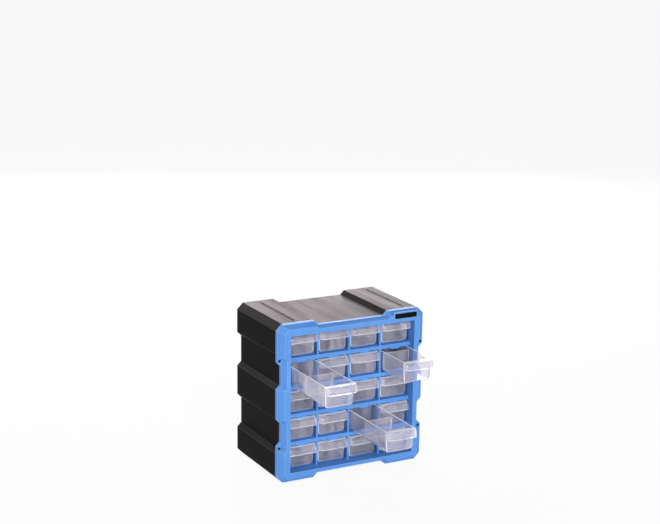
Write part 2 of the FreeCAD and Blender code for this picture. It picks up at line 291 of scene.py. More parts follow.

# %% [markdown]
# ## Small finishes
# The name plate is a glossy black label with a thin lacquer, the screws are blackened steel, and the
# rack of shelves inside is a rougher blue than the frame, with a deeper blue that is painted shade, as
# it lies in the dark.

# %% Plate, screws and rack
gloss_black, scuffed_black = (0.002, 0.002, 0.0025, 1), (0.007, 0.007, 0.008, 1)
dark_steel, rubbed_steel = (0.012, 0.012, 0.014, 1), (0.06, 0.06, 0.065, 1)
# The rack's blues are darker than the frame's as painted shade, and vary with dust.
rack_shaded_deep, rack_shaded_dusty = (0.05, 0.16, 0.45, 1), (0.08, 0.21, 0.52, 1)


def plate_look(recipe):
    scuff = recipe.ramp(recipe.noise(240, 4), 0.45, 0.75)
    return recipe.plastic({
        "Base Color": recipe.blend(scuff, gloss_black, scuffed_black),
        "Roughness": 0.12 + 0.15 * scuff,
        "Specular IOR Level": 0.06,
        "Coat Weight": 0.02,
    })


def screw_look(recipe):
    wear = recipe.ramp(recipe.noise(900, 4), 0.5, 0.72)
    return recipe.plastic({
        "Base Color": recipe.blend(wear, dark_steel, rubbed_steel),
        "Roughness": 0.35 + 0.2 * wear,
        "Metallic": 0.8,
        "Normal": recipe.bump(recipe.noise(2500, 2), 0.2, 0.00004),
    })


def rack_look(recipe):
    dust = recipe.ramp(recipe.noise(45, 5, roughness=0.65), 0.45, 0.8)
    return recipe.plastic({
        # Painted shade: the rack's deeper blue, with dust patches.
        "Base Color": recipe.blend(dust, rack_shaded_deep, rack_shaded_dusty),
        "Roughness": 0.5 + 0.15 * dust,
        "Specular IOR Level": 0.2,
        "Normal": recipe.bump(recipe.noise(1100, 2), 0.3, 0.0001),
    })


plate_black = finish("plate_black", plate_look)
black_steel = finish("black_steel", screw_look)
rack_blue = finish("rack_blue", rack_look)

# %% [markdown]
# ## Working in millimetres
# Mouldings are drawn in millimetres, so the shapes below are too, and the last step turns them into
# metres. The frame's own boxes are read in millimetres as well, so that the pieces take their main
# sizes and places from it.

# %% Boxes of the frame
def corners(node):
    """Lowest and highest corner of a CAD node, in millimetres."""
    return [[round(1000 * value, 2) for value in corner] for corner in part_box(node)]


print("case from", *corners("case_shell"))

# %% [markdown]
# ## Starting shapes
# Every moulding starts as one of three things: a box, a bar, or a ring of vertices that is extruded
# from place to place and grows into walls. The ring is the most useful, because a moulding's section
# can be walked around like a path.

# %% Starting shapes
def block(low, high):
    """A box between two corners."""
    shape = bmesh.new()
    bmesh.ops.create_cube(shape, size=1)
    size = [b - a for a, b in zip(low, high)]
    middle = [(a + b) / 2 for a, b in zip(low, high)]
    bmesh.ops.scale(shape, vec=size, verts=shape.verts)
    bmesh.ops.translate(shape, vec=middle, verts=shape.verts)
    return shape


def ring_edges(shape, ring):
    """The edges that join a ring's vertices, in the shape's own order."""
    members = set(ring)
    return [edge for edge in shape.edges if members.issuperset(edge.verts)]


def grow(shape, ring, places):
    """Extrudes a ring of vertices and moves the new ring to its places."""
    grown = set(bmesh.ops.extrude_edge_only(shape, edges=ring_edges(shape, ring))["geom"])
    ring = [next(e.other_vert(old) for e in old.link_edges if e.other_vert(old) in grown) for old in ring]
    for vert, place in zip(ring, places):
        vert.co = place
    return ring


def weld(shape):
    """Merges doubled vertices and points the faces outwards."""
    bmesh.ops.remove_doubles(shape, verts=shape.verts, dist=0.001)
    bmesh.ops.recalc_face_normals(shape, faces=shape.faces)
    return shape


def loft(rings, closed=False):
    """A solid through rings of places, with capped ends or joined into a loop."""
    shape = bmesh.new()
    ring = [shape.verts.new(place) for place in rings[0]]
    for start, end in zip(ring, ring[1:] + ring[:1]):
        shape.edges.new((start, end))
    if not closed:
        bmesh.ops.edgeloop_fill(shape, edges=ring_edges(shape, ring))
    for places in rings[1:] + (rings[:1] if closed else []):
        ring = grow(shape, ring, places)
    if not closed:
        bmesh.ops.edgeloop_fill(shape, edges=ring_edges(shape, ring))
    return weld(shape)


def prism(places, push):
    """A solid swept from a flat outline along a vector."""
    return loft([places, [place + Vector(push) for place in places]])


def cylinder(radius, start, length, sides=32):
    """A round bar that points back from a place on the front."""
    angles = [2 * pi * k / sides for k in range(sides)]
    places = [start + radius * Vector((cos(angle), 0, sin(angle))) for angle in angles]
    return prism(places, (0, length, 0))


# %% [markdown]
# ## Joining, cutting and rounding
# Pads, holes and slots are plain solids, so they are joined or cut with the exact Boolean solver.
# A cutter always reaches past what it cuts, as two faces in one plane leave such a cut undecided.
# The solver lists what it makes in an order that varies from run to run, and later steps depend on
# that order, so each result is written down anew in an order of its own. Bevels then round the sharp
# edges. A rounded face is told by the turn of its borders whether it is a ridge or a crease, and
# keeps that in the attribute that the finishes read to paint a highlight on ridges and shade in creases.

# %% Joining, cutting and rounding
past = 5


def open_edges(shape):
    """How many edges don't join exactly two faces, which is 0 for a closed solid."""
    return sum(not edge.is_manifold for edge in shape.edges)


def gather(shapes):
    """Several separate solids as one shape."""
    whole = bmesh.new()
    for shape in shapes:
        mesh = bpy.data.meshes.new("part")
        shape.to_mesh(mesh)
        shape.free()
        whole.from_mesh(mesh)
        bpy.data.meshes.remove(mesh)
    return whole


def rank(vert):
    """What vertices are sorted by: the rounded place, and the exact one if two are that close."""
    return [round(value, 3) for value in vert.co], tuple(vert.co)


def settle(shape):
    """The same shape with its vertices and faces listed by their places."""
    settled = bmesh.new()
    ordered = sorted(shape.verts, key=rank)
    numbers = {vert: number for number, vert in enumerate(ordered)}
    verts = [settled.verts.new(vert.co) for vert in ordered]
    mark = shape.faces.layers.float.get("edge")
    layer = settled.faces.layers.float.new("edge") if mark else None
    rows = []
    for face in shape.faces:
        around = [numbers[vert] for vert in face.verts]
        first = around.index(min(around))
        rows.append((around[first:] + around[:first], face[mark] if mark else 0))
    for around, value in sorted(rows):
        face = settled.faces.new([verts[number] for number in around])
        if mark:
            face[layer] = value
    settled.normal_update()
    shape.free()
    return settled


def combine(base, tool, operation):
    """Joins or cuts two closed solids."""
    hosts = []
    for shape in (base, tool):
        mesh = bpy.data.meshes.new("rough")
        shape.to_mesh(mesh)
        shape.free()
        host = bpy.data.objects.new("rough", mesh)
        bpy.context.collection.objects.link(host)
        hosts.append(host)
    modifier = hosts[0].modifiers.new("combine", "BOOLEAN")
    modifier.object = hosts[1]
    modifier.operation = operation
    modifier.solver = "EXACT"
    result = bmesh.new()
    result.from_object(hosts[0], bpy.context.evaluated_depsgraph_get())
    for host in hosts:
        mesh = host.data
        bpy.data.objects.remove(host)
        bpy.data.meshes.remove(mesh)
    bmesh.ops.remove_doubles(result, verts=result.verts, dist=0.001)
    result = settle(result)
    bmesh.ops.dissolve_limit(result, angle_limit=radians(0.5), verts=result.verts, edges=result.edges)
    return result


def bevel(shape, edges, width, segments):
    """Rounds edges by a width and gives the new faces."""
    return bmesh.ops.bevel(
        shape, geom=edges, offset=width, offset_type="OFFSET", segments=segments, profile=0.5,
        affect="EDGES", material=-1, clamp_overlap=True,
    )["faces"]


def soften(shape, width, segments=2, limit=40, chosen=None, mark=False):
    """Rounds edges that turn by more than the limit, and may mark ridges with 1 and creases with -1 for
    painted highlight and shade.
    """
    layer = shape.faces.layers.float.new("edge") if mark else None
    sharp = [edge for edge in shape.edges if edge.is_manifold and edge.calc_face_angle(0) > radians(limit)]
    if chosen:
        sharp = [edge for edge in sharp if chosen(edge)]
    rounded = bevel(shape, sharp, width, segments)
    if mark:
        for face in rounded:
            turn = sum(edge.calc_face_angle_signed(0) * edge.calc_length() for edge in face.edges)
            face[layer] = 1 if turn > 0 else -1
    return shape


def mark_faces(shape, amount, chosen):
    """Sets the edge value of the faces that a test picks by their turn, spot and present value."""
    layer = shape.faces.layers.float["edge"]
    for face in shape.faces:
        if chosen(face.normal, face.calc_center_median(), face[layer]):
            face[layer] = amount


# %% [markdown]
# ## Handing a piece over
# A finished shape becomes an object at the origin with its place in its mesh. It is shaded smooth
# with sharp creases, and weighted normals keep its flat faces flat. It rides on a body of the frame
# and hides the plain solids that it replaces.

# %% Pieces
def make_piece(name, shape, material, body, stands_for):
    """Hands a shape in millimetres over as a piece that rides on a body."""
    shape = settle(shape)
    bmesh.ops.scale(shape, vec=(0.001, 0.001, 0.001), verts=shape.verts)
    mesh = bpy.data.meshes.new(name)
    shape.to_mesh(mesh)
    shape.free()
    mesh.polygons.foreach_set("use_smooth", [True] * len(mesh.polygons))
    mesh.set_sharp_from_angle(angle=radians(38))
    mesh.materials.append(material)
    piece = bpy.data.objects.new(name, mesh)
    bpy.context.collection.objects.link(piece)
    piece.modifiers.new("even_shading", "WEIGHTED_NORMAL").keep_sharp = True
    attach(piece, body)
    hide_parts(*stands_for)
    print("piece", name, "faces", len(mesh.polygons))


# %% [markdown]
# ## The castellated outline
# Seen from the front, the case and the frame share one outline with raised bands: the ends and the
# middle of each side, and the ends of the top and bottom. One quarter of it is drawn as eight points
# and mirrored twice. The same function gives the flange, the foot and the face of the frame.

# %% Outline
(case_left, case_y, _), (case_right, back_y, height) = corners("case_shell")
width = case_right - case_left
middle_z = height / 2
recess, corner_cut = 7, 10.2
middle_band, top_band = 49.3, 65.5
corner_share = 1 - tan(pi / 8)


def castellated(y, half_width, half_height, step, corner, band_half, end_z, band_x):
    """The outline's 32 points at a depth, anticlockwise from the right."""
    quarter = [
        (half_width, band_half),
        (half_width - step, band_half + step),
        (half_width - step, end_z - step),
        (half_width, end_z),
        (half_width, half_height - corner),
        (half_width - corner, half_height),
        (band_x, half_height),
        (band_x - step, half_height - step),
    ]
    mirrored = [(-x, z) for x, z in reversed(quarter)]
    turned = [(-x, -z) for x, z in quarter] + [(x, -z) for x, z in reversed(quarter)]
    return [Vector((x, y, middle_z + z)) for x, z in quarter + mirrored + turned]


def case_outline(y, end_band, inset):
    """The case's or flange's outline, moved inwards by a wall."""
    drift = inset * (1 - corner_share)
    return castellated(
        y, width / 2 - inset, height / 2 - inset, recess, corner_cut - 2 * inset * corner_share,
        middle_band / 2 - drift, height / 2 - end_band + drift, width / 2 - top_band + drift,
    )


print("outline points", len(case_outline(case_y, 49, 0)))

# %% [markdown]
# ## The front frame
# The frame is a flange with a chamfered body in front of it and a large window. It could be cut from
# a slab with Booleans, but then every chamfer would need its own cutter. Instead one ring of edges
# walks around its section: back of the flange, front of the flange, foot of the body, face, edge of
# the window and back again. Each step is one extrusion, and the last ring is welded to the first.

# %% Frame body
(grid_left, grid_y, grid_low), (grid_right, grid_back, grid_high) = corners("front_grid")
grid_border = 5
window_half = grid_right - grid_border
window_low, window_high = grid_low + grid_border, grid_high - grid_border
face_y = corners("front_frame")[0][1]
body_depth, flange_band = 8, 61.2
flange_y = face_y + body_depth
foot_inset, foot_recess = 2.5, 5.7
face_side, face_end, face_recess, face_corner = 9.9, 7.5, 3.9, 7
body_band_z, body_band_x = 78, 67


def to_window(point, y):
    """The nearest point on the window's edge."""
    x = max(-window_half, min(window_half, point.x))
    z = max(window_low, min(window_high, point.z))
    return Vector((x, y, z))


foot = castellated(
    flange_y, width / 2 - foot_inset, height / 2 - foot_inset, foot_recess,
    corner_cut - 2 * foot_inset * corner_share, middle_band / 2, body_band_z, body_band_x,
)
face = castellated(
    face_y, width / 2 - face_side, height / 2 - face_end, face_recess,
    face_corner, middle_band / 2, body_band_z, body_band_x,
)
walk = [
    case_outline(case_y, flange_band, 0),
    case_outline(flange_y, flange_band, 0),
    foot,
    face,
    [to_window(point, face_y) for point in face],
    [to_window(point, case_y) for point in face],
]
frame_shape = loft(walk, closed=True)
print("frame faces", len(frame_shape.faces))

# %% [markdown]
# ## The pad for the name plate
# At the top right the frame is raised to its full depth by a pad with a slanted left end. It holds a
# shallow pocket for the plate. The pad is joined to the frame and the pocket is cut from it with
# Booleans, because each is a plain solid.

# %% Pad and pocket
(plate_left, plate_y, plate_low), (plate_right, plate_back, plate_high) = corners("name_plate")
margin, slant, pad_depth, play = 2.2, 5, 10, 0.1
pad_left, pad_right = plate_left - margin - slant, plate_right + margin
pad_low, pad_high = plate_low - margin, plate_high + margin
pad_places = [(pad_left, pad_low), (pad_right, pad_low), (pad_right, pad_high), (pad_left + slant, pad_high)]
pad = prism([Vector((x, face_y, z)) for x, z in pad_places], (0, pad_depth, 0))
frame_shape = combine(frame_shape, pad, "UNION")
pocket = block(
    (plate_left - play, face_y - past, plate_low - play),
    (plate_right + play, plate_back, plate_high + play),
)
frame_shape = combine(frame_shape, pocket, "DIFFERENCE")
print("pad from", round(pad_left, 2), "to", round(pad_right, 2))

# %% [markdown]
# ## The screw holes
# Each ear of the flange has a hole with a wide counterbore for the screw's head. The frame's edges
# are rounded and marked for a painted highlight on ridges and painted shade in creases, and its
# window's reveals are marked for painted shade, before the holes are cut, because some holes lie too
# near an edge to round both.

# %% Screw holes
(_, head_y, screws_low), (_, screws_back, screws_high) = corners("frame_screws")
head_radius, shank_radius, hole_play = 2.4, 1.5, 0.15
counterbore, hole_length, screw_inset = 10, 12, 3.9
screw_x = width / 2 - screw_inset
screw_levels = (screws_low + head_radius, screws_high - head_radius)
screw_spots = [(x, z) for x in (-screw_x, screw_x) for z in screw_levels]


def in_reveal(turn, spot, edge):
    """Whether a flat face lines the window."""
    inside = abs(spot.x) < window_half + 1 and window_low - 1 < spot.z < window_high + 1
    return inside and edge == 0 and abs(turn.y) < 0.1


def holes(radius, y, length):
    """Four bars in the places of the screws."""
    return gather([cylinder(radius + hole_play, Vector((x, y, z)), length) for x, z in screw_spots])


# The rounds are marked: ridges get a painted highlight, creases painted shade.
soften(frame_shape, 0.7, segments=3, limit=20, mark=True)
# The window's reveals get painted shade.
mark_faces(frame_shape, -0.3, in_reveal)
frame_shape = combine(frame_shape, holes(head_radius, face_y, counterbore), "DIFFERENCE")
frame_shape = combine(frame_shape, holes(shank_radius, face_y + counterbore - 1, hole_length), "DIFFERENCE")
print("frame open edges", open_edges(frame_shape))
make_piece("frame_moulding", frame_shape, blue_plastic, "cabinet", ["front_frame"])

# %% [markdown]
# ## The grid behind the window
# Four rails and three posts part the window into twenty cells, set back behind the frame's face. It
# starts as a plate, twenty boxes are cut from it, and a small stop tab is joined under the top edge
# of each cell, which keeps a drawer from being pulled right out.

# %% Cells
columns, rows = range(1, 5), range(1, 6)
post, rail = 3.2, 6.5
cell_width = (2 * window_half - (len(columns) - 1) * post) / len(columns)
cell_height = (window_high - window_low - (len(rows) - 1) * rail) / len(rows)


def column_middle(column):
    """Middle of a column, counted from the left."""
    return (column - (len(columns) + 1) / 2) * (cell_width + post)


def sill(row):
    """Top of the rail under a row, counted from the top."""
    return window_low + (len(rows) - row) * (cell_height + rail)


print("cell", round(cell_width, 2), "by", round(cell_height, 2))

# %% Grid
tab_half, tab_drop, tab_root, tab_front, tab_back = 8, 2.4, 1, 0.5, 3
cells = []
tabs = []
for row in rows:
    for column in columns:
        x, z, top = column_middle(column), sill(row), sill(row) + cell_height
        left, right = x - cell_width / 2, x + cell_width / 2
        cells.append(block((left, grid_y - past, z), (right, grid_back + past, top)))
        tab_low = (x - tab_half, grid_y + tab_front, top - tab_drop)
        tabs.append(block(tab_low, (x + tab_half, grid_y + tab_back, top + tab_root)))
lattice = block((grid_left, grid_y, grid_low), (grid_right, grid_back, grid_high))
lattice = combine(lattice, gather(cells), "DIFFERENCE")
lattice = combine(lattice, gather(tabs), "UNION")
# The rounds are marked: ridges get a painted highlight, creases painted shade.
soften(lattice, 0.45, mark=True)
# The walls inside the cells get painted shade.
mark_faces(lattice, -0.45, lambda turn, spot, edge: edge == 0 and abs(turn.y) < 0.1)
make_piece("grid_moulding", lattice, blue_plastic, "cabinet", ["front_grid"])

# %% [markdown]
# ## The name plate
# The plate is a thin glossy label, left blank. A plain box would look pasted on, so its face is inset
# and pushed back a little, which leaves a fine raised border that catches the light.

# %% Name plate
plate = block((plate_left, plate_y, plate_low), (plate_right, plate_back, plate_high))
front = [panel for panel in plate.faces if panel.normal.y < -0.9]
bmesh.ops.inset_region(plate, faces=front, thickness=0.55)
bmesh.ops.translate(plate, vec=(0, 0.2, 0), verts=front[0].verts)
soften(plate, 0.12)
make_piece("blank_plate", plate, plate_black, "cabinet", ["name_plate"])

# %% [markdown]
# ## The screws
# Four pan-head screws hold the frame to the case. A head is a turned shape, so half of its section
# is drawn as a line and spun around the screw's axis. The cross slot is cut afterwards.

# %% Screws
head_height, slot_half, slot_reach, slot_depth = 1.8, 0.35, 1.6, 0.9
screw_length = screws_back - head_y
section = [
    (0, 0), (1.5, 0.06), (2.15, 0.35), (head_radius, 0.9), (head_radius, head_height),
    (shank_radius, head_height), (shank_radius, screw_length - 0.8), (0.9, screw_length), (0, screw_length),
]


def screw(x, z):
    """A pan-head screw that points back from its place."""
    shape = bmesh.new()
    line = [shape.verts.new((x + radius, head_y + reach, z)) for radius, reach in section]
    edges = [shape.edges.new(pair) for pair in zip(line, line[1:])]
    bmesh.ops.spin(
        shape, geom=line + edges, cent=(x, head_y, z), axis=(0, 1, 0), angle=2 * pi, steps=28,
        use_merge=True, use_duplicate=False,
    )
    weld(shape)
    for across, up in ((slot_reach, slot_half), (slot_half, slot_reach)):
        slot = block((x - across, head_y - past, z - up), (x + across, head_y + slot_depth, z + up))
        shape = combine(shape, slot, "DIFFERENCE")
    return shape


screws = gather([screw(x, z) for x, z in screw_spots])
make_piece("screws", screws, black_steel, "cabinet", ["frame_screws"])

# %% [markdown]
# ## The case
# The case is a tube with the same castellated outline. Again one ring walks around the wall's
# section: outside from front to back, into the rebate that seats the back, and forward along the
# inside. Its edges are rounded more than those of the details that follow, as on a real moulding. The
# rounded ridges are marked for a painted highlight, and the lower ridges of the side bands for a
# stronger one, a painted reflection of the floor below them.

# %% Case tube
case_band, case_wall, rebate, back_thickness = 49, 2.5, 1.3, 2.5
rebate_y = back_y - back_thickness
walk = [
    (case_y, 0), (back_y, 0), (back_y, rebate),
    (rebate_y, rebate), (rebate_y, case_wall), (case_y, case_wall),
]
case_shape = loft([case_outline(y, case_band, inset) for y, inset in walk], closed=True)
# The rounds are marked for a painted highlight on the ridges.
soften(case_shape, 0.7, segments=3, limit=30, mark=True)


def on_lower_ridge(turn, spot, edge):
    """Whether a rounded face runs along the lower edge of a side band."""
    return edge > 0 and turn.z < -0.2 and abs(turn.x) > 0.2 and abs(turn.y) < 0.1


# The lower ridges of the side bands get a stronger painted highlight, a painted reflection of the floor.
mark_faces(case_shape, 1.6, on_lower_ridge)
print("case faces", len(case_shape.faces))

# %% [markdown]
# ## Bosses, grooves and lines
# Behind each ear of the frame a boss fills the recess of the side. Each top band has a narrow groove
# with a fine bead beside it. The top and the side bands also carry shallow witness lines, where the
# mould's inserts met, and those stop a little short of the case's ends.

# %% Case details
boss_depth, boss_root, boss_gap, boss_outward, boss_inward = 10, 1.25, 1, 5.9, 2.7
groove_half, groove_depth, groove_places, groove_gaps = 0.9, 0.9, (-95, 104.5), (8, 12)
bead_half, bead_root, bead_rise, bead_offset = 0.5, 0.5, 0.3, 2.4
line_half, line_depth, line_gaps = 0.3, 0.12, (4, 4)
line_places = ((-28, height - recess), (78, height))
scratch_half, scratch_depth, scratch_reach = 0.35, 0.15, 99.5


def boss(x, z):
    """The boss behind an ear."""
    side = 1 if x > 0 else -1
    end = 1 if z > middle_z else -1
    x0, x1 = sorted((side * (width / 2 - recess - boss_root), side * (width / 2 - boss_gap)))
    z0, z1 = sorted((z - end * boss_inward, z + end * boss_outward))
    return soften(block((x0, case_y, z0), (x1, case_y + boss_depth, z1)), 0.5)


def top_bar(x, half, low, high, gaps):
    """A narrow bar along the top, with a gap in front of it and one behind."""
    return block((x - half, case_y + gaps[0], low), (x + half, back_y - gaps[1], high))


def side_bar(side, z):
    """A narrow bar along a side band, just deep enough to scratch it."""
    x0, x1 = sorted((side * (width / 2 - scratch_depth), side * (width / 2 + past)))
    low, high = (x0, case_y + line_gaps[0], z - scratch_half), (x1, back_y - line_gaps[1], z + scratch_half)
    return block(low, high)


grooves = []
beads = []
for x in groove_places:
    grooves.append(top_bar(x, groove_half, height - groove_depth, height + past, groove_gaps))
    beads.append(top_bar(x - bead_offset, bead_half, height - bead_root, height + bead_rise, groove_gaps))
for x, top in line_places:
    grooves.append(top_bar(x, line_half, top - line_depth, top + past, line_gaps))
for side in (-1, 1):
    for z in (middle_z - scratch_reach, middle_z, middle_z + scratch_reach):
        grooves.append(side_bar(side, z))
for bead in beads:
    soften(bead, 0.25, chosen=lambda edge: min(vert.co.z for vert in edge.verts) > height)

case_shape = combine(case_shape, gather([boss(x, z) for x, z in screw_spots]), "UNION")
case_shape = combine(case_shape, gather(grooves), "DIFFERENCE")
case_shape = combine(case_shape, gather(beads), "UNION")
make_piece("case_moulding", case_shape, black_plastic, "cabinet", ["case_shell"])

# %% [markdown]
# ## The back
# A flat panel sits in the rebate. It has two keyholes for wall screws and a shallow pressed channel
# around its edge, which is how such a thin panel is kept from bowing. The channel is part of the walk
# of rings, so it follows every band of the outline.

# %% Back panel
panel_inset = corners("back_panel")[0][2]
channel_depth, channel_near, channel_far = 0.6, 3, 6.2
mouth_radius, neck_radius, keyhole_rise, keyhole_drop = 4.2, 2.3, 9, 40
walk = [
    (-back_thickness, 0), (0, 0), (0, channel_near), (-channel_depth, channel_near + channel_depth),
    (-channel_depth, channel_far - channel_depth), (0, channel_far),
]
panel = loft([case_outline(back_y + step, case_band, panel_inset + inset) for step, inset in walk])
soften(panel, 0.2, limit=30)


def keyhole(x, z):
    """A round mouth with a slot above it, as a solid that reaches through the panel."""
    start, end = rebate_y - past, back_y + past
    mouth = cylinder(mouth_radius, Vector((x, start, z)), end - start)
    top = cylinder(neck_radius, Vector((x, start, z + keyhole_rise)), end - start)
    neck = block((x - neck_radius, start, z), (x + neck_radius, end, z + keyhole_rise))
    return combine(combine(mouth, top, "UNION"), neck, "UNION")


keyholes = [keyhole(column_middle(column), height - keyhole_drop) for column in (columns[0], columns[-1])]
panel = combine(panel, gather(keyholes), "DIFFERENCE")
print("panel open edges", open_edges(panel))
make_piece("back_moulding", panel, black_plastic, "cabinet", ["back_panel"])

# %% [markdown]
# ## The rack
# The shelves and partitions inside are plain crossed plates, and their CAD shapes are already right.
# They only get the rack's finish in place of the grey they came with.

# %% Rack finish
plates = [node for name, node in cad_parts.items() if name.startswith(("shelf", "partition"))]
for node in plates:
    for material_slot in node.material_slots:
        material_slot.material = rack_blue
print("rack plates", len(plates))

# %% [markdown]
# ## A drawer's tub
# A drawer is one thin moulding. The tub starts as a box, its sides are drawn in a little towards the
# floor so that it leaves the mould, and its lower edges are rounded. A Solidify would fold the inner
# corners over themselves, so a smaller block of the same form is cut out of it, which leaves an even
# wall.

# %% Tub
drawer_length, drawer_height, wall = 134, 35, 1.5
bottom_half, side_draft = 24.2, 1.4
floor_round, end_round = 5, 1.2


def tub_half(z):
    """Half the tub's outside width at a height."""
    return bottom_half + side_draft * z / drawer_height


def tub_block(inset, low, high):
    """A drawn-in box with round lower edges, inset from the tub's outside."""
    right = [(tub_half(high) - inset, high), (tub_half(low) - inset, low)]
    outline = right + [(-x, z) for x, z in reversed(right)]
    places = [Vector((x, inset, z)) for x, z in outline]
    shape = prism(places, (0, drawer_length - 2 * inset, 0))

    def is_long_and_low(edge):
        return max(vert.co.z for vert in edge.verts) < low + 1 and edge.calc_length() > drawer_length / 2

    def is_end(edge):
        first, second = edge.verts
        return abs(first.co.y - second.co.y) < 0.1 and min(first.co.z, second.co.z) < high - 1

    soften(shape, floor_round - inset, segments=6, chosen=is_long_and_low)
    bevel(shape, [edge for edge in shape.edges if is_end(edge)], end_round + wall - inset, segments=3)
    return shape


def tub():
    """The open box of a drawer, its front at y = 0 and its underside at z = 0."""
    outside = tub_block(0, 0, drawer_height)
    inside = tub_block(wall, wall, drawer_height + past)
    return combine(outside, inside, "DIFFERENCE")


print("tub", drawer_length, "long and", round(2 * tub_half(drawer_height), 2), "wide")

# %% [markdown]
# ## A drawer's handle
# The handle is a hood across the front, open underneath for the fingertips. Seen from above its
# corners are round, and seen from the side so is its nose. It grows upwards from its round plan: each
# ring lifts the plan and draws it back along a quarter circle. The same rings with smaller sizes make
# the hollow that is cut from it. The lowest ring flares a little, which gives the hood its lip.

# %% Hood
hood_half, hood_reach, hood_height, hood_round = 26.4, 12, 12, 7
lip_flare, lip_height, cheek_round, hood_root = 0.6, 1.5, 5, 0.3
hood_low = drawer_height - hood_height


def hood_block(inset, low):
    """A scoop with round plan corners and a round nose, its back inside the tub's front wall."""
    half, reach, high = hood_half - inset, hood_reach - inset, drawer_height - inset
    nose = hood_round - inset
    stages = [(low, reach + lip_flare), (low + lip_height, reach), (high - nose, reach)]
    for step in range(1, 9):
        angle = pi / 16 * step
        stages.append((high - nose + nose * sin(angle), reach - nose + nose * cos(angle)))
    right = [(half, 0)]
    for turn in (0, 15, 30, 45, 58, 66):
        angle = radians(turn)
        right.append((half - nose + nose * cos(angle), nose - reach - nose * sin(angle)))
    right.append((half - nose, -reach))
    plan = [(-x, y) for x, y in right] + right[::-1]
    rings = []
    for level, bulge in stages:
        rings.append([Vector((x, hood_root if y == 0 else y * bulge / reach, level)) for x, y in plan])
    return loft(rings)


def hood():
    """The hood with its hollow and the rounded rear corner of its cheeks."""
    shell = combine(hood_block(0, hood_low), hood_block(wall, hood_low - past), "DIFFERENCE")
    turns = [pi / 12 * k for k in range(7)]
    arc = [(cheek_round * (sin(turn) - 1), hood_low + cheek_round * (1 - cos(turn))) for turn in turns]
    notch = arc + [(1, hood_low + cheek_round), (1, hood_low - past), (-cheek_round, hood_low - past)]
    reach = hood_half + past
    room = prism([Vector((-reach, y, z)) for y, z in notch], (2 * reach, 0, 0))
    return combine(shell, room, "DIFFERENCE")


print("hood", 2 * hood_half, "wide, reaching", hood_reach, "forward")

# %% [markdown]
# ## The whole drawer
# The tub, the hood, the two rims that stiffen the long edges, the catch at the back and two pairs of
# ribs are joined into one solid, and every sharp edge is rounded a little. The small rounds are
# marked, and the clear finish paints them as bright lines, a painted highlight. The ribs leave a gap
# for a divider halfway along.

# %% Drawer
rim_root, rim_reach, rim_height, rim_gap = 24.3, 26.2, 1.8, 0.4
catch_half, catch_top = 12, 37.6
rib_width, rib_low, rib_top = 1, 4, 30.5
divider_y, divider_gap = drawer_length / 2, 0.8


def inner_half(z):
    """Half the tub's inside width at a height."""
    return tub_half(z) - wall


def rims():
    """The rims along the tub's long edges."""
    made = []
    for side in (-1, 1):
        x0, x1 = sorted((side * rim_root, side * rim_reach))
        low = (x0, rim_gap, drawer_height - rim_height)
        made.append(block(low, (x1, drawer_length - rim_gap, drawer_height)))
    return gather(made)


def ribs():
    """Two pairs of upright ribs, with room for a divider between them."""
    made = []
    for side in (-1, 1):
        for start in (divider_y - divider_gap - rib_width, divider_y + divider_gap):
            x0, x1 = sorted((side * (inner_half(0) - 1), side * (inner_half(rib_top + 0.5) + 0.5)))
            made.append(block((x0, start, rib_low), (x1, start + rib_width, rib_top)))
    return gather(made)


def drawer():
    """One moulded drawer with its front at y = 0 and its underside at z = 0."""
    catch_low = (-catch_half, drawer_length - wall, drawer_height - rim_height)
    shape = combine(tub(), hood(), "UNION")
    shape = combine(shape, rims(), "UNION")
    shape = combine(shape, block(catch_low, (catch_half, drawer_length, catch_top)), "UNION")
    shape = combine(shape, ribs(), "UNION")
    # The rounds are marked for a painted highlight.
    return soften(shape, 0.3, limit=24, mark=True)


# %% [markdown]
# ## Bright parts of a drawer
# Some larger faces of clear plastic get a painted highlight too, so the rims, the hood's lip, the
# tub's front corners and the hood's cheeks are marked as edges to different degrees. Each test below
# picks faces by the way they turn and by where they lie. The cheeks come last, because they leave
# alone what is marked before them.

# %% Bright parts
def on_rim(turn, spot, edge):
    """Whether a face lies on top, behind the front wall's edge."""
    return turn.z > 0.9 and spot.z > drawer_height - 0.1 and spot.y > wall - 0.1


def on_lip(turn, spot, edge):
    """Whether a face belongs to the flared lower end of the hood."""
    return spot.z < hood_low + lip_height + 0.1 and spot.y < -0.5


def on_corner(turn, spot, edge):
    """Whether a face turns around one of the tub's front corners, below the rims."""
    return 0.3 < abs(turn.y) < 0.95 and 0 < spot.y < wall + end_round + 0.1 and spot.z < drawer_height - 3


def on_cheek(turn, spot, edge):
    """Whether a face is a side of the hood and not marked yet."""
    return abs(turn.x) > 0.6 and spot.y < 0 and edge == 0


pattern = drawer()
# Each mark paints a highlight of its own strength.
for amount, chosen in ((1, on_rim), (0.5, on_lip), (0.75, on_corner), (0.4, on_cheek)):
    mark_faces(pattern, amount, chosen)
print("drawer faces", len(pattern.faces), "open edges", open_edges(pattern))

# %% [markdown]
# ## The dividers
# A divider is a flat plate that stands between the ribs of a drawer. Its lower corners are cut off to
# clear the tub's round floor.

# %% Divider
divider_top, divider_thickness, divider_play, floor_clear = 32, 1.2, 0.2, 3.5


def divider():
    """The plate that stands between the ribs."""
    top_half, low_half = inner_half(divider_top) - divider_play, inner_half(wall) - divider_play
    right = [(top_half, divider_top), (low_half, wall + floor_clear), (low_half - floor_clear, wall)]
    outline = [(-x, z) for x, z in right] + right[::-1]
    places = [Vector((x, divider_y - divider_thickness / 2, z)) for x, z in outline]
    # Its rounds are marked for a painted highlight.
    return soften(prism(places, (0, divider_thickness, 0)), 0.2, mark=True)


print("divider top at", divider_top)

# %% [markdown]
# ## Placing the drawers
# All drawers are copies of one pattern. The frame says how far each one is pulled out, and a drawer
# that has a divider in the frame gets one here, which rides on the same body.

